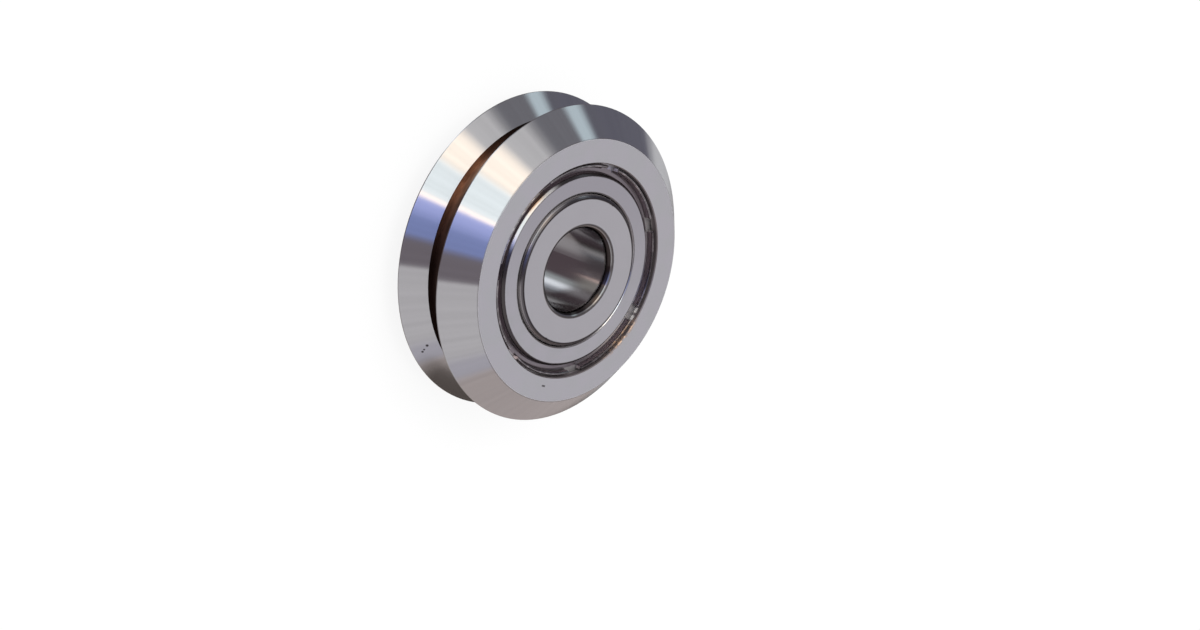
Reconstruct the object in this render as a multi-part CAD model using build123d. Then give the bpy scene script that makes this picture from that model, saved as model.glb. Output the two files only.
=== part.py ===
from build123d import *
from math import cos, radians, sin
import os

# Track wheel: a steel guide wheel for vee-edged track, which is a double-row ball bearing
# whose one-piece outer ring carries two vee rims with a vee groove between them.
# Millimetres. The wheel turns about Z, its front face looks up, and its origin is its centre.

# Whole wheel
bore_diameter = 12.0
rim_diameter = 45.8
wheel_width = 15.88

# Outer ring: the rims, the bevels and groove flanks at 45 degrees, and the relief slot
rim_land = 0.15
relief_slot_width = 2.05
relief_slot_depth = 0.78
face_edge_break = 0.06

# Balls and raceways. The contact lines lean so that the outer ring is touched inboard of each row.
ball_diameter = 4.762
balls_in_row = 11
contact_angle = 30.0
race_conformity = 0.52
race_clearance = 0.035
inner_ring_wall = 3.919

# Shoulder heights beside the raceways, counted from the ball's nearest point
inner_outboard_shoulder = 1.06
inner_middle_shoulder = 0.38
outer_outboard_shoulder = 0.38
outer_middle_shoulder = 0.78

# Inner ring corners, at the bore and beside the shield
bore_corner_radius = 1.1
shoulder_corner_radius = 0.75

# Shields: pressed sheet with a raised flat, a sloping wall, a trough, and a hemmed rim that is notched
sheet_thickness = 0.2
shield_flat_recess = 0.46
shield_hem_recess = 0.3
shield_floor_depth = 1.55
shield_skirt_depth = 0.58
shield_running_gap = 0.12
shield_flat_edge = 1.3
shield_slope = 0.3
shield_trough_width = 0.95
shield_bend_radius = 0.2
trough_corner_radius = 0.45
hem_width = 0.4
hem_crevice = 0.25
notch_count = 7
notch_width = 2.3
front_first_notch = 78.5
rear_first_notch = 90.0

# Seat and groove in the outer ring that hold the shield's edge
seat_step = 1.2
groove_depth = 0.4
groove_height = 0.35
groove_slope_height = 0.35
groove_edge_gap = 0.05
counterbore_edge_break = 0.12

# Cages: moulded crowns with their base ring outboard of the balls and horns between them
cage_thickness = 1.6
cage_base_height = 0.62
cage_ball_gap = 0.1
cage_shield_gap = 0.88
pocket_clearance = 0.08
horn_reach = 1.3
horn_slot_width = 0.7
horn_slot_depth = 1.7
cage_edge_radius = 0.2

# Worked out along the axle, for the front half
half_width = wheel_width / 2
crest_z = wheel_width / 4
slot_half = relief_slot_width / 2
ball_r = ball_diameter / 2
shield_flat_z = half_width - shield_flat_recess
shield_hem_z = half_width - shield_hem_recess
seat_z = half_width - shield_floor_depth - sheet_thickness
cage_top_z = shield_flat_z - sheet_thickness - cage_shield_gap
row_z = cage_top_z - cage_base_height - cage_ball_gap - ball_r

# Worked out across the axle
bore_r = bore_diameter / 2
rim_r = rim_diameter / 2
face_outer_r = rim_r - (half_width - crest_z - rim_land / 2)
flank_foot_r = rim_r - (crest_z - rim_land / 2 - slot_half)
slot_r = flank_foot_r - relief_slot_depth
pitch_r = bore_r + inner_ring_wall + ball_r
inner_land_r = pitch_r - ball_r + inner_outboard_shoulder
inner_middle_r = pitch_r - ball_r + inner_middle_shoulder
outer_land_r = pitch_r + ball_r - outer_outboard_shoulder
outer_middle_r = pitch_r + ball_r - outer_middle_shoulder
counterbore_r = outer_land_r + seat_step
groove_r = counterbore_r + groove_depth
race_arc_r = race_conformity * ball_diameter
race_shift = race_arc_r - ball_r - race_clearance
race_shift_r = race_shift * cos(radians(contact_angle))
race_shift_z = race_shift * sin(radians(contact_angle))
ball_pitch_angle = 360 / balls_in_row


def turned(front_half):
    """A ring turned from the front half of its section, which is mirrored to the rear."""
    section = front_half + mirror(front_half, about=Plane.XZ)
    return revolve(Plane.XZ * section, axis=Axis.Z)


def make_outer_ring():
    """The wheel itself: vee rims outside, two raceways and two shield seats inside."""
    outline = Polyline(
        (outer_middle_r, 0),
        (outer_middle_r, row_z),
        (outer_land_r, row_z),
        (outer_land_r, seat_z),
        (groove_r, seat_z),
        (groove_r, seat_z + groove_height),
        (counterbore_r, seat_z + groove_height + groove_slope_height),
        (counterbore_r, half_width - counterbore_edge_break),
        (counterbore_r + counterbore_edge_break, half_width),
        (face_outer_r - face_edge_break, half_width),
        (face_outer_r + face_edge_break, half_width - face_edge_break),
        (rim_r, crest_z + rim_land / 2),
        (rim_r, crest_z - rim_land / 2),
        (flank_foot_r, slot_half),
        (slot_r, slot_half),
        (slot_r, 0),
        close=True,
    )
    raceway = Pos(pitch_r - race_shift_r, row_z + race_shift_z) * Circle(race_arc_r)
    return turned(make_face(outline) - raceway)


def make_inner_ring():
    """The bored ring that clamps to the axle, with its high shoulders outboard of the balls."""
    outline = Polyline(
        (bore_r, 0),
        (bore_r, half_width),
        (inner_land_r, half_width),
        (inner_land_r, row_z),
        (inner_middle_r, row_z),
        (inner_middle_r, 0),
        close=True,
    )
    blank = make_face(outline)
    bore_corner = blank.vertices().sort_by_distance((bore_r, half_width))[0]
    blank = fillet(bore_corner, bore_corner_radius)
    shoulder_corner = blank.vertices().sort_by_distance((inner_land_r, half_width))[0]
    blank = fillet(shoulder_corner, shoulder_corner_radius)
    raceway = Pos(pitch_r + race_shift_r, row_z - race_shift_z) * Circle(race_arc_r)
    return turned(blank - raceway)


def make_front_shield(first_notch):
    """One pressed shield: skirt, raised flat, sloping wall, trough, hemmed rim and the lip that the groove holds."""
    skirt_r = inner_land_r + shield_running_gap
    hem_outer_r = counterbore_r - hem_crevice
    hem_inner_r = hem_outer_r - hem_width
    rim_middle_r = hem_inner_r + hem_width / 2
    flat_edge_r = hem_inner_r - shield_flat_edge
    floor_z = seat_z + sheet_thickness
    half_sheet = sheet_thickness / 2
    middle_line = FilletPolyline(
        (skirt_r + half_sheet, shield_flat_z - shield_skirt_depth),
        (skirt_r + half_sheet, shield_flat_z - half_sheet),
        (flat_edge_r, shield_flat_z - half_sheet),
        (flat_edge_r + shield_slope, shield_flat_z - half_sheet - shield_slope),
        (hem_inner_r - shield_trough_width, floor_z - half_sheet),
        (groove_r - groove_edge_gap, floor_z - half_sheet),
        radius=shield_bend_radius,
    )
    bead_z = shield_hem_z - hem_width / 2
    hem = Pos(rim_middle_r, (seat_z + bead_z) / 2) * Rectangle(hem_width, bead_z - seat_z)
    hem += Pos(rim_middle_r, bead_z) * Circle(hem_width / 2)
    section = trace(middle_line, sheet_thickness) + hem
    trough_corner = section.vertices().sort_by_distance((hem_inner_r, floor_z))[0]
    section = fillet(trough_corner, trough_corner_radius)
    shield = revolve(Plane.XZ * section, axis=Axis.Z)
    notch = Pos(0, 0, shield_hem_z) * Box(
        2 * (hem_width + hem_crevice),
        notch_width,
        2 * (shield_hem_z - floor_z),
    )
    notches = [place * notch for place in PolarLocations(rim_middle_r, notch_count, first_notch)]
    return shield - notches


def make_front_cage(first_ball):
    """A crown cage: a base ring, a round pocket for each ball, and slotted horns between the pockets."""
    base = Plane.XZ * (Pos(pitch_r, (cage_top_z + row_z - horn_reach) / 2) * RectangleRounded(
        cage_thickness,
        cage_top_z - row_z + horn_reach,
        cage_edge_radius,
    ))
    cage = revolve(base, axis=Axis.Z)
    pocket = Sphere(ball_r + pocket_clearance)
    pockets = [Pos(0, 0, row_z) * place * pocket for place in PolarLocations(pitch_r, balls_in_row, first_ball)]
    slot = Pos(0, 0, row_z - horn_reach) * Box(2 * cage_thickness, horn_slot_width, 2 * horn_slot_depth)
    between = first_ball + ball_pitch_angle / 2
    slots = [place * slot for place in PolarLocations(pitch_r, balls_in_row, between)]
    return cage - pockets - slots


def place_ball(number, first_ball, row_height):
    """One ball of a row, counted round from the first."""
    angle = radians(first_ball + number * ball_pitch_angle)
    return Pos(pitch_r * cos(angle), pitch_r * sin(angle), row_height) * Sphere(ball_r)


# The rear row stands half a pitch round from the front row
front_first_ball = 90.0
rear_first_ball = front_first_ball + ball_pitch_angle / 2

parts = {
    "outer_ring": make_outer_ring(),
    "inner_ring": make_inner_ring(),
    "front_shield": make_front_shield(front_first_notch),
    "rear_shield": mirror(make_front_shield(rear_first_notch), about=Plane.XY),
    "front_cage": make_front_cage(front_first_ball),
    "rear_cage": mirror(make_front_cage(rear_first_ball), about=Plane.XY),
}
for number in range(balls_in_row):
    parts[f"ball_front_{number + 1:02d}"] = place_ball(number, front_first_ball, row_z)
    parts[f"ball_rear_{number + 1:02d}"] = place_ball(number, rear_first_ball, -row_z)

os.makedirs("parts", exist_ok=True)
for name, shape in parts.items():
    export_step(shape, f"parts/{name}.step")
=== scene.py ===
from math import cos, pi, radians, sin

import bpy
from mathutils import Matrix, Vector


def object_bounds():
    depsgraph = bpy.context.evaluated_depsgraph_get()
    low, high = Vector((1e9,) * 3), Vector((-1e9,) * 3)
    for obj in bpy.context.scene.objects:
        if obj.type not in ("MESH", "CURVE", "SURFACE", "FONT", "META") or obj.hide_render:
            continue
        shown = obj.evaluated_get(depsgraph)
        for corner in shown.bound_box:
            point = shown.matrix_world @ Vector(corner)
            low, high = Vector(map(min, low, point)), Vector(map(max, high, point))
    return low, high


# A steel guide wheel with two vee rims, on a pale floor under soft studio light.
# Metres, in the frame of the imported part: the wheel's axle is Z and its front face looks up.
# A clock angle is in degrees, clockwise from +Y as the front face is seen.

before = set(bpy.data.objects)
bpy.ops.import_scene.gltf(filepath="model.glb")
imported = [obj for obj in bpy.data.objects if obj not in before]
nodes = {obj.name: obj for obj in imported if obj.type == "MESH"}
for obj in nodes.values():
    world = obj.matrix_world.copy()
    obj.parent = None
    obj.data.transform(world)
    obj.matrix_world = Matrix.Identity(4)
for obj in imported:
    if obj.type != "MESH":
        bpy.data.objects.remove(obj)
cad_low, cad_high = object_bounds()
MM = 0.001

# The photograph's camera, in the part's frame
PHOTO_WIDTH_PX = 1200
FOCAL_PX = 3000
SENSOR_MM = 36
CAMERA_AT = Vector((-301.10, 74.65, 287.29)) * MM
CAMERA_FORWARD = Vector((0.726187, -0.191387, -0.660321))
CAMERA_UP = Vector((0.0, 0.960470, -0.278382))

# Places on the wheel that the finishes go by, in millimetres: radii from the axle, and heights
# from the middle of the wheel
BORE_R = 6.0
BORE_EDGE_R = 7.05
SHOULDER_R = 10.35
INNER_RING_R = 10.98
SHIELD_EDGE_R = 11.1
SHIELD_FLAT_R = 13.55
HEM_R = 14.85
COUNTERBORE_R = 15.5
FACE_EDGE_R = 18.9
FACE_Z = cad_high.z / MM
HEM_Z = 7.64
SHIELD_FLAT_Z = 7.48
SHIELD_FLOOR_Z = 6.39
SLOT_HALF = 1.05

# Small marks, each with its radius, clock angle and height, and its size
PITS = (
    ((21.9, 227.6, -2.9), 0.24),
    ((21.65, 228.4, -2.65), 0.20),
    ((21.2, 229.9, -2.2), 0.28),
)
NICK = tuple(((16.8, angle, FACE_Z), 0.17) for angle in (187.3, 188.0, 188.7))

# The floor and the shell that the steel mirrors, in metres
FLOOR_SIZE = 12.0
FLOOR_GAP = 0.00001
FLOOR_GLOW = 0.87
DOME_RADIUS = 3.0

# The low card beside the wheel: its size in metres, its stretch and its fade in clock angles
CARD_RADIUS = 0.0285
CARD_TOP = 0.0009
CARD_FROM = 236
CARD_TO = 128
CARD_FADE = (201.5, 218)
CARD_STEPS = 32

# The studio that the steel mirrors, as panels that fan out round the wheel. Each runs from one
# clock angle to another and has a plain colour. Surfaces at middling tilts show these.
STUDIO_PANELS = (
    ("far wall, dark", 0, 25.5, (0.165, 0.165, 0.205)),
    ("side wall", 33, 148, (0.655, 0.66, 0.68)),
    ("bench", 160, 222, (0.535, 0.475, 0.46)),
    ("pale strip", 225, 230, (0.55, 0.54, 0.60)),
    ("side cloth", 234, 263.2, (0.66, 0.65, 0.665)),
    ("dark gap", 264.4, 273.6, (0.225, 0.20, 0.225)),
    ("blue window", 275.5, 281, (0.30, 0.37, 0.72)),
    ("blue window, bright", 286, 288.6, (0.58, 0.66, 1.20)),
    ("window edge", 289.5, 290.2, (2.50, 2.15, 1.90)),
    ("cool softbox", 290.9, 302.5, (1.32, 1.44, 1.46)),
    ("warm softbox", 304.5, 314.5, (1.78, 1.60, 1.38)),
    ("grey card", 318, 326.5, (0.74, 0.735, 0.74)),
    ("dark card", 332.5, 345.3, (0.225, 0.225, 0.25)),
    ("cool strip", 347.4, 352.1, (0.70, 0.83, 0.89)),
    ("far wall again", 355.0, 360, (0.165, 0.165, 0.20)),
)

# What upright surfaces mirror, such as the bore's wall, by the clock angle that a ray leaves in
LOW_PANELS = (
    ("far end", 0, 6, (0.24, 0.25, 0.27)),
    ("dark far side", 16, 60, (0.14, 0.12, 0.13)),
    ("dim far side", 84, 112, (0.24, 0.20, 0.205)),
    ("warm glint", 118, 122, (1.80, 1.40, 1.24)),
    ("pale behind", 130, 172, (0.58, 0.56, 0.51)),
    ("dim side", 186, 198, (0.30, 0.27, 0.265)),
    ("grey side", 210, 232, (0.42, 0.40, 0.41)),
    ("near dark", 256, 310, (0.120, 0.092, 0.104)),
    ("edge of the bright card", 322, 328, (0.45, 0.49, 0.50)),
    ("bright card", 335, 345, (1.20, 1.27, 1.34)),
    ("edge again", 352, 354, (0.50, 0.53, 0.58)),
)

# Light from straight above, which level surfaces show, the dark ring round it and the ceiling
OVERHEAD_LEFT = (0.655, 0.648, 0.70)
OVERHEAD_RIGHT = (0.655, 0.638, 0.672)
DARK_RING = (0.17, 0.155, 0.16)
CEILING = (0.42, 0.41, 0.42)

# Where the shell passes from one of these to the next. These three go by how level the surface is
# that mirrors the place to the photograph's camera, from 0 upright to 1 level.
PANELS_START = (0.50, 0.57)
RING_START = (0.865, 0.90)
OVERHEAD_START = (0.965, 0.98)

# This one goes by that surface's X
OVERHEAD_TURN = (-0.06, 0.06)

# These go by the place's own height, and by how near it is to straight ahead of the camera
CEILING_START = (0.965, 0.99)
BEYOND_START = (0.965, 0.985)

# Colours that more than one finish uses
STEEL = (0.60, 0.593, 0.605)
HUB_STEEL = (0.568, 0.558, 0.565)
DARK_MARK = (0.05, 0.04, 0.04)


def on_clock(radius, angle, height):
    """A point from its radius, clock angle and height."""
    return (radius * sin(radians(angle)), radius * cos(radians(angle)), height)


def add_camera():
    camera = bpy.data.objects.new("camera", bpy.data.cameras.new("camera"))
    bpy.context.scene.collection.objects.link(camera)
    camera.data.sensor_width = SENSOR_MM
    camera.data.lens = FOCAL_PX * SENSOR_MM / PHOTO_WIDTH_PX
    camera.data.clip_start = 0.01
    camera.data.clip_end = 100
    right = CAMERA_FORWARD.cross(CAMERA_UP).normalized()
    up = right.cross(CAMERA_FORWARD).normalized()
    turn = Matrix((right, up, -CAMERA_FORWARD.normalized())).transposed()
    camera.matrix_world = Matrix.Translation(CAMERA_AT) @ turn.to_4x4()
    bpy.context.scene.camera = camera


class Nodes:
    """A material's node tree, with short calls for the nodes used here."""

    def __init__(self, tree):
        self.tree = tree
        self.tree.nodes.clear()

    def add(self, kind, **settings):
        node = self.tree.nodes.new("ShaderNode" + kind)
        for key, value in settings.items():
            setattr(node, key, value)
        return node

    def put(self, value, socket):
        """Links an output to the socket, or sets a plain number, vector or colour on it."""
        if isinstance(value, bpy.types.NodeSocket):
            self.tree.links.new(value, socket)
        elif socket.type == "RGBA":
            socket.default_value = (*value, 1.0)
        elif value is not None:
            socket.default_value = value

    def show(self, shader):
        self.put(shader.outputs[0], self.add("OutputMaterial").inputs["Surface"])

    def math(self, operation, first, second=None):
        node = self.add("Math", operation=operation)
        self.put(first, node.inputs[0])
        self.put(second, node.inputs[1])
        return node.outputs[0]

    def times(self, first, second):
        return self.math("MULTIPLY", first, second)

    def vector(self, operation, first, second=None):
        """The vector or, for the operations that give one, the number that comes out."""
        node = self.add("VectorMath", operation=operation)
        self.put(first, node.inputs[0])
        self.put(second, node.inputs[1])
        return node.outputs[1] if operation in ("DOT_PRODUCT", "LENGTH", "DISTANCE") else node.outputs[0]

    def brighten(self, colour, factor):
        node = self.add("VectorMath", operation="SCALE")
        self.put(colour, node.inputs[0])
        self.put(factor, node.inputs["Scale"])
        return node.outputs[0]

    def split(self, vector):
        node = self.add("SeparateXYZ")
        self.put(vector, node.inputs[0])
        return node.outputs

    def ramp(self, factor, low, high, to_low=0.0, to_high=1.0):
        """Goes smoothly from to_low at low to to_high at high."""
        node = self.add("MapRange", interpolation_type="SMOOTHSTEP")
        for value, socket in zip((factor, low, high, to_low, to_high), node.inputs):
            self.put(value, socket)
        return node.outputs[0]

    def between(self, factor, low, high, soft):
        """One from low to high and zero outside, with soft edges."""
        rising = self.ramp(factor, low - soft, low + soft)
        return self.times(rising, self.ramp(factor, high - soft, high + soft, 1.0, 0.0))

    def mix(self, factor, first, second):
        node = self.add("Mix", data_type="RGBA")
        self.put(factor, node.inputs["Factor"])
        self.put(first, node.inputs[6])
        self.put(second, node.inputs[7])
        return node.outputs[2]

    def noise(self, vector, scale, detail):
        node = self.add("TexNoise")
        self.put(vector, node.inputs["Vector"])
        self.put(scale, node.inputs["Scale"])
        self.put(detail, node.inputs["Detail"])
        return node.outputs["Fac"]

    def streaks(self, value, scale, detail):
        """Uneven stripes along one value."""
        node = self.add("TexNoise", noise_dimensions="1D")
        self.put(value, node.inputs["W"])
        self.put(scale, node.inputs["Scale"])
        self.put(detail, node.inputs["Detail"])
        return node.outputs["Fac"]

    def point(self):
        """The point on the piece, in millimetres."""
        return self.vector("MULTIPLY", self.add("TexCoord").outputs["Object"], (1 / MM, 1 / MM, 1 / MM))

    def radius(self, point):
        return self.vector("LENGTH", self.vector("MULTIPLY", point, (1.0, 1.0, 0.0)))

    def clock(self, vector):
        """The clock angle of a point or a direction."""
        split = self.split(vector)
        turn = self.math("DIVIDE", self.math("ARCTAN2", split[0], split[1]), 2 * pi)
        return self.times(self.math("FRACT", self.math("ADD", turn, 1.0)), 360.0)

    def marks(self, point, colour, marks):
        """Adds small dark spots to a colour."""
        for place, size in marks:
            away = self.vector("DISTANCE", point, on_clock(*place))
            colour = self.mix(self.ramp(away, 0.4 * size, size, 1.0, 0.0), colour, DARK_MARK)
        return colour

    def panels(self, angle, panels):
        """A colour for each clock angle, from a list of panels with soft gaps between them."""
        node = self.add("ValToRGB")
        stops = node.color_ramp.elements
        stops[0].position = 0.0
        stops[0].color = (*panels[0][3], 1.0)
        stops[1].position = 1.0
        stops[1].color = (*panels[-1][3], 1.0)
        for _, start, end, colour in panels:
            for edge in (start, end):
                if 0 < edge < 360:
                    stops.new(edge / 360).color = (*colour, 1.0)
        self.put(self.math("DIVIDE", angle, 360.0), node.inputs[0])
        return node.outputs[0]


def new_material(name):
    material = bpy.data.materials.new(name)
    material.use_nodes = True
    return material, Nodes(material.node_tree)


def only_for_mirrors(thing):
    thing.visible_camera = False
    thing.visible_diffuse = False
    thing.visible_shadow = False


def add_dome():
    """A large shell that only mirrors see. Its panels are laid out by the normal that would send the
    main view there, so on a cone about Z each panel shows as a straight band."""
    bpy.ops.mesh.primitive_uv_sphere_add(segments=64, ring_count=32, radius=DOME_RADIUS)
    dome = bpy.context.object
    dome.name = "studio_dome"
    material, tree = new_material("studio_panels")
    place = tree.vector("NORMALIZE", tree.add("NewGeometry").outputs["Position"])
    half_way = tree.vector("NORMALIZE", tree.vector("SUBTRACT", place, tuple(CAMERA_FORWARD)))
    level = tree.math("ABSOLUTE", tree.split(half_way)[2])
    angle = tree.clock(half_way)
    low = tree.panels(tree.clock(place), LOW_PANELS)
    colour = tree.mix(tree.ramp(level, *PANELS_START), low, tree.panels(angle, STUDIO_PANELS))
    colour = tree.mix(tree.ramp(level, *RING_START), colour, DARK_RING)
    steep = tree.math("ABSOLUTE", tree.split(place)[2])
    colour = tree.mix(tree.ramp(steep, *CEILING_START), colour, CEILING)
    overhead = tree.mix(tree.ramp(tree.split(half_way)[0], *OVERHEAD_TURN), OVERHEAD_LEFT, OVERHEAD_RIGHT)
    colour = tree.mix(tree.ramp(level, *OVERHEAD_START), colour, overhead)
    beyond = tree.vector("DOT_PRODUCT", place, tuple(CAMERA_FORWARD))
    colour = tree.mix(tree.ramp(beyond, *BEYOND_START), colour, low)
    glow = tree.add("Emission")
    tree.put(colour, glow.inputs["Color"])
    tree.put(tree.ramp(tree.streaks(angle, 0.55, 5.0), 0.25, 0.75, 0.93, 1.07), glow.inputs["Strength"])
    tree.show(glow)
    dome.data.materials.append(material)
    only_for_mirrors(dome)


def add_low_card():
    """A dark card that stands low beside the wheel and darkens the foot of its rear flank."""
    verts = []
    for step in range(CARD_STEPS + 1):
        angle = CARD_FROM + (CARD_TO - CARD_FROM) * step / CARD_STEPS
        verts += [on_clock(CARD_RADIUS, angle, height) for height in (cad_low.z, CARD_TOP)]
    faces = [(2 * i, 2 * i + 2, 2 * i + 3, 2 * i + 1) for i in range(CARD_STEPS)]
    mesh = bpy.data.meshes.new("low_card")
    mesh.from_pydata(verts, [], faces)
    card = bpy.data.objects.new("low_card", mesh)
    bpy.context.scene.collection.objects.link(card)
    material, tree = new_material("card_paper")
    glow = tree.add("Emission")
    tree.put((0.118, 0.10, 0.09), glow.inputs["Color"])
    fade = tree.add("MixShader")
    angle = tree.clock(tree.add("NewGeometry").outputs["Position"])
    tree.put(tree.ramp(angle, *CARD_FADE), fade.inputs[0])
    tree.put(glow.outputs[0], fade.inputs[1])
    tree.put(tree.add("BsdfTransparent").outputs[0], fade.inputs[2])
    tree.show(fade)
    mesh.materials.append(material)
    only_for_mirrors(card)


def add_floor():
    """White paper that is partly lit from behind, so the wheel's shadow on it is faint."""
    bpy.ops.mesh.primitive_plane_add(size=FLOOR_SIZE, location=(0, 0, cad_low.z - FLOOR_GAP))
    floor = bpy.context.object
    floor.name = "floor"
    floor.visible_glossy = False
    material, tree = new_material("floor_paper")
    paper = tree.add("BsdfDiffuse")
    tree.put((0.92, 0.92, 0.92), paper.inputs["Color"])
    backlight = tree.add("Emission")
    tree.put((1.0, 1.0, 1.0), backlight.inputs["Color"])
    both = tree.add("MixShader")
    tree.put(FLOOR_GLOW, both.inputs[0])
    tree.put(paper.outputs[0], both.inputs[1])
    tree.put(backlight.outputs[0], both.inputs[2])
    tree.show(both)
    floor.data.materials.append(material)


def add_lights():
    world = bpy.data.worlds.new("studio_air")
    bpy.context.scene.world = world
    world.use_nodes = True
    background = world.node_tree.nodes["Background"]
    background.inputs["Color"].default_value = (1.0, 1.0, 1.0, 1.0)
    background.inputs["Strength"].default_value = 1.0
    lamp = bpy.data.objects.new("key_light", bpy.data.lights.new("key_light", "AREA"))
    bpy.context.scene.collection.objects.link(lamp)
    lamp.data.size = 0.5
    lamp.data.energy = 2.5
    lamp.location = (-0.25, 0.35, 0.6)
    lamp.rotation_euler = (-lamp.location).to_track_quat("-Z", "Y").to_euler()
    lamp.visible_glossy = False


def steel_shader(tree, colour, roughness, metallic=1.0, anisotropy=0.0):
    """Steel, whose gloss is stretched round the axle where it has anisotropy."""
    shader = tree.add("BsdfPrincipled")
    tree.put(colour, shader.inputs["Base Color"])
    tree.put(roughness, shader.inputs["Roughness"])
    tree.put(metallic, shader.inputs["Metallic"])
    if anisotropy:
        shader.inputs["Anisotropic"].default_value = anisotropy
        shader.inputs["Anisotropic Rotation"].default_value = 0.25
        tangent = tree.add("Tangent", direction_type="RADIAL", axis="Z")
        tree.put(tangent.outputs[0], shader.inputs["Tangent"])
    tree.show(shader)


def make_ground_steel():
    """Bevels and flanks, ground round the wheel, with three small pits in the rear flank."""
    material, tree = new_material("ground_steel")
    steel_shader(tree, tree.marks(tree.point(), STEEL, PITS), 0.16, anisotropy=1.0)
    return material


def make_face_steel():
    """The level faces, finely ground, with one small nick in the front, and the rounded outer corner
    of the inner ring, darkened with painted shade, most of all on its inner part and at clock 260 to 284,
    with its wall dull with grease."""
    material, tree = new_material("face_steel")
    point = tree.point()
    radius = tree.radius(point)
    angle = tree.clock(point)
    mottle = tree.noise(point, 0.35, 4.0)
    colour = tree.mix(tree.ramp(mottle, 0.3, 0.7), (0.588, 0.588, 0.59), (0.612, 0.598, 0.618))
    colour = tree.marks(point, colour, NICK)
    colour = tree.mix(tree.ramp(radius, SHOULDER_R - 0.35, HEM_R + 0.15), HUB_STEEL, colour)

    # Painted shade on the inner ring's rounded corner: dark, darkest on its inner part and at clock 260 to
    # 284
    corner = tree.between(radius, SHOULDER_R, SHIELD_EDGE_R, 0.05)
    deep_corner_shade = (0.15, 0.138, 0.145)
    outward = tree.ramp(radius, INNER_RING_R - 0.24, INNER_RING_R - 0.18)
    corner_shade_colour = tree.mix(outward, deep_corner_shade, (0.34, 0.318, 0.326))
    corner_shade_colour = tree.mix(tree.between(angle, 260, 284, 4), corner_shade_colour, deep_corner_shade)
    colour = tree.mix(corner, colour, corner_shade_colour)
    greasy_wall = tree.between(radius, INNER_RING_R - 0.08, INNER_RING_R + 0.07, 0.03)

    beside_recess = tree.between(radius, COUNTERBORE_R - 0.2, COUNTERBORE_R + 0.35, 0.15)
    stained = tree.times(tree.between(angle, 118, 142, 5), beside_recess)
    stained = tree.times(stained, tree.ramp(tree.noise(point, 2.2, 4.0), 0.42, 0.6))
    colour = tree.mix(tree.times(stained, 0.7), colour, (0.60, 0.44, 0.33))

    # The edge break at the face's outer rim is painted near white and rougher, a painted highlight that hides
    # the dark line it would show
    edge = tree.ramp(radius, FACE_EDGE_R - 0.04, FACE_EDGE_R)
    colour = tree.mix(edge, colour, (0.92, 0.91, 0.93))
    roughness = tree.ramp(edge, 0.0, 1.0, tree.ramp(mottle, 0.3, 0.7, 0.19, 0.23), 0.5)
    steel_shader(tree, colour, roughness, tree.ramp(greasy_wall, 0.0, 1.0, 1.0, 0.7))
    return material


def make_recess_steel():
    """The counterbore round the shield, dull and dark, lighter at its foot, with a touch of rust on the lower
    right and a painted glint, two near-white strips low behind one notch."""
    material, tree = new_material("recess_steel")
    point = tree.point()
    angle = tree.clock(point)
    height = tree.split(point)[2]
    foot = tree.ramp(tree.math("ABSOLUTE", height), 6.95, 7.25, 1.0, 0.0)
    colour = tree.mix(foot, (0.22, 0.19, 0.195), (0.38, 0.345, 0.345))

    patches = tree.ramp(tree.noise(point, 1.6, 4.0), 0.42, 0.6)
    rust = tree.times(tree.between(angle, 117, 142, 6), patches)
    rust = tree.times(rust, tree.ramp(height, 7.0, 7.7))
    colour = tree.mix(rust, colour, (0.62, 0.43, 0.32))

    # Painted glint: two near-white strips, low behind one notch, that stand in for a glint there
    painted_glint = tree.math("ADD", tree.between(angle, 110.8, 113.6, 0.5), tree.between(angle, 115.2, 118.0, 0.5))
    painted_glint = tree.times(painted_glint, tree.between(height, 6.4, 7.3, 0.1))
    colour = tree.mix(painted_glint, colour, (0.96, 0.93, 0.90))
    roughness = tree.ramp(foot, 0.0, 1.0, 0.4, tree.ramp(painted_glint, 0.0, 1.0, 0.28, 0.12))
    steel_shader(tree, colour, roughness, tree.ramp(painted_glint, 0.0, 1.0, 0.7, 0.5))
    return material


def make_bore_steel():
    """The honed bore, darker low down, with painted shade on its rounded corner, darkest where it meets the
    wall.
    """
    material, tree = new_material("bore_steel")
    point = tree.point()
    radius = tree.radius(point)
    # Darker at clock 154 to 205
    darker_low_side = tree.between(tree.clock(point), 154, 205, 7)
    colour = tree.mix(darker_low_side, (0.56, 0.55, 0.56), (0.34, 0.31, 0.30))
    # Painted shade on the bore's rounded corner: near black where it meets the wall, grey further out, then
    # the face's colour
    corner_shade_bands = (
        (0.01, 0.05, (0.055, 0.045, 0.043)),
        (0.40, 0.46, (0.38, 0.365, 0.365)),
        (0.78, 0.95, HUB_STEEL),
    )
    for start, full, band_colour in corner_shade_bands:
        colour = tree.mix(tree.ramp(radius, BORE_R + start, BORE_R + full), colour, band_colour)
    steel_shader(tree, colour, 0.17, anisotropy=0.6)
    return material


def make_slot_with_painted_shade():
    """The relief slot, dark with painted shade, and a copper-brown tone, uneven, shown only where light
    falls.
    """
    material, tree = new_material("slot_painted_shade")
    point = tree.point()
    angle = tree.clock(point)
    band = tree.vector("MULTIPLY", point, (0.6, 0.6, 1.8))
    # Painted shade: the copper-brown tone shows only at clock 262 to 332, where light falls, and the rest is
    # dark
    thin = tree.ramp(tree.noise(band, 0.5, 3.0), 0.35, 0.65, 0.55, 1.0)
    copper = tree.ramp(angle, 262, 300, 0.05, 1.0)
    copper = tree.times(copper, tree.ramp(angle, 306, 332, 1.0, 0.12))
    colour = tree.mix(tree.times(thin, copper), (0.09, 0.06, 0.052), (0.54, 0.34, 0.24))
    steel_shader(tree, colour, 0.42)
    return material


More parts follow.
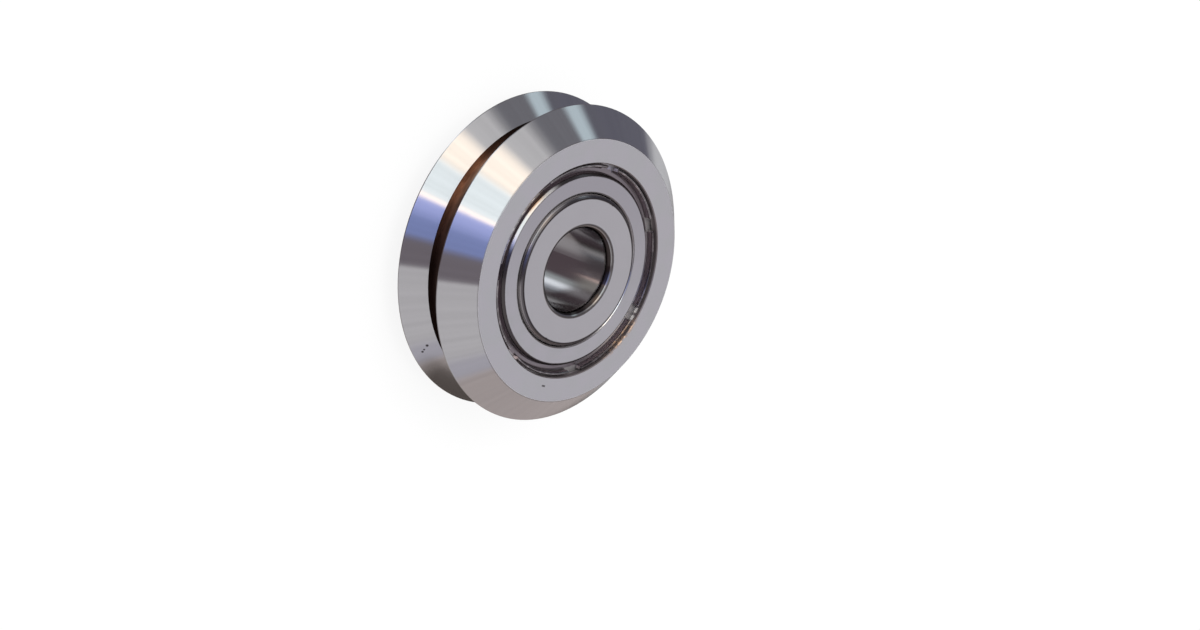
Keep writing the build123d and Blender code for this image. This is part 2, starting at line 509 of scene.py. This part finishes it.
def make_shield_steel():
    """Pressed sheet, darker in its trough, with painted shade on its flat towards +Y, on the outer slope, on
    the inner bend and on the hem's top at the far side, painted highlights on the inner bend and the hem's
    side, and rust on the lower right of its rim."""
    material, tree = new_material("shield_steel")
    point = tree.point()
    radius = tree.radius(point)
    angle = tree.clock(point)
    up = tree.math("ABSOLUTE", tree.split(point)[2])

    # The flat, with painted shade that darkens it towards +Y, and the bend at its inner edge
    mottle = tree.noise(point, 0.4, 4.0)
    colour = tree.mix(tree.ramp(mottle, 0.3, 0.7), (0.552, 0.548, 0.556), (0.576, 0.562, 0.584))
    colour = tree.mix(tree.ramp(tree.split(point)[1], -10.0, 13.0), colour, (0.483, 0.467, 0.491))
    inner_bend = tree.ramp(radius, SHIELD_EDGE_R + 0.2, SHIELD_EDGE_R + 0.28, 1.0, 0.0)
    # Painted shade on the bend at the inner edge, everywhere but clock 75 to 150
    shaded_bend = tree.times(tree.math("SUBTRACT", 1.0, tree.between(angle, 75, 150, 12)), inner_bend)
    colour = tree.mix(shaded_bend, colour, (0.30, 0.275, 0.28))
    # A painted highlight on the inner bend, at clock 112 to 140
    painted_highlight_bend = tree.times(tree.between(angle, 112, 140, 6), inner_bend)
    colour = tree.mix(painted_highlight_bend, colour, (0.95, 0.95, 0.96))

    # The slope outside the flat, painted dark as shade except at clock 283 to 328, and the trough below it,
    # darker
    outside = tree.ramp(radius, SHIELD_FLAT_R - 0.04, SHIELD_FLAT_R + 0.05)
    slope = tree.mix(tree.between(angle, 283, 328, 5), (0.10, 0.088, 0.09), (0.62, 0.61, 0.61))
    colour = tree.mix(outside, colour, slope)
    deep = tree.times(outside, tree.ramp(up, SHIELD_FLAT_Z - 0.48, SHIELD_FLAT_Z - 0.3, 1.0, 0.0))
    colour = tree.mix(deep, colour, (0.30, 0.268, 0.282))
    slope_foot = tree.between(radius, SHIELD_FLAT_R + 0.23, SHIELD_FLAT_R + 0.45, 0.04)
    brown = tree.times(tree.between(angle, 306, 319, 4), slope_foot)
    colour = tree.mix(tree.times(brown, 0.7), colour, (0.46, 0.29, 0.17))
    at_hem = tree.ramp(radius, HEM_R - 0.15, HEM_R)
    notch_floor = tree.times(at_hem, tree.ramp(up, SHIELD_FLOOR_Z + 0.21, SHIELD_FLOOR_Z + 0.25, 1.0, 0.0))
    colour = tree.mix(notch_floor, colour, (0.38, 0.36, 0.365))

    # The hem: its side, lightened with a painted highlight, its worn top, darkened with painted shade at
    # clock 58 to 172, and the rust there
    hem_side_highlight = tree.times(tree.ramp(radius, HEM_R - 0.35, HEM_R - 0.15), tree.ramp(up, 6.62, 6.8))
    colour = tree.mix(hem_side_highlight, colour, (0.92, 0.84, 0.86))
    hem_top = tree.times(at_hem, tree.ramp(up, HEM_Z - 0.22, HEM_Z - 0.14))
    # Painted shade on the hem's top, darker at clock 58 to 172
    hem_shade_colour = tree.mix(tree.between(angle, 58, 172, 8), (0.42, 0.39, 0.395), (0.20, 0.178, 0.182))
    worn = tree.ramp(tree.noise(point, 1.1, 3.0), 0.5, 0.62, 0.7, 1.25)
    colour = tree.mix(hem_top, colour, tree.brighten(hem_shade_colour, worn))
    rust = tree.times(tree.between(angle, 119, 140, 5), hem_top)
    rust = tree.times(rust, tree.ramp(tree.noise(point, 2.0, 4.0), 0.45, 0.6))
    colour = tree.mix(rust, colour, (0.36, 0.25, 0.18))

    metallic = tree.ramp(shaded_bend, 0.0, 1.0, tree.ramp(notch_floor, 0.0, 1.0, 1.0, 0.55), 0.86)
    steel_shader(tree, colour, tree.ramp(deep, 0.0, 1.0, 0.22, 0.32), metallic)
    return material


def make_ball_steel():
    material, tree = new_material("ball_steel")
    steel_shader(tree, (0.7, 0.7, 0.72), 0.05)
    return material


def make_cage_plastic():
    material, tree = new_material("cage_plastic")
    shader = tree.add("BsdfPrincipled")
    tree.put((0.05, 0.035, 0.025), shader.inputs["Base Color"])
    tree.put(0.5, shader.inputs["Roughness"])
    tree.show(shader)
    return material


def dress(name, materials, choose=None):
    """Gives a CAD node its finishes, face by face where it has more than one."""
    mesh = nodes[name].data
    mesh.materials.clear()
    for material in materials:
        mesh.materials.append(material)
    for face in mesh.polygons:
        place = face.center / MM
        radius = (place.x ** 2 + place.y ** 2) ** 0.5
        face.material_index = choose(radius, place.z, face.normal) if choose else 0


def outer_ring_finish(radius, height, normal):
    """Which of the outer ring's finishes a face has: ground, level, slot or recess."""
    if abs(height) < SLOT_HALF and radius > FACE_EDGE_R:
        return 2
    if abs(height) > FACE_Z - 0.04 and abs(normal.z) > 0.9:
        return 1
    if radius > FACE_EDGE_R:
        return 0
    return 3


def inner_ring_finish(radius, height, normal):
    """Which of the inner ring's finishes a face has: level or bore."""
    return 1 if radius < BORE_EDGE_R else 0


add_camera()
add_floor()
add_lights()
add_dome()
add_low_card()

face_steel = make_face_steel()
outer_finishes = (make_ground_steel(), face_steel, make_slot_with_painted_shade(), make_recess_steel())
dress("outer_ring", outer_finishes, outer_ring_finish)
dress("inner_ring", (face_steel, make_bore_steel()), inner_ring_finish)

shield_steel = make_shield_steel()
cage_plastic = make_cage_plastic()
ball_steel = make_ball_steel()
for name in nodes:
    if name.endswith("_shield"):
        dress(name, (shield_steel,))
    elif name.endswith("_cage"):
        dress(name, (cage_plastic,))
    elif name.startswith("ball_"):
        dress(name, (ball_steel,))

bpy.context.scene.view_settings.view_transform = "Standard"
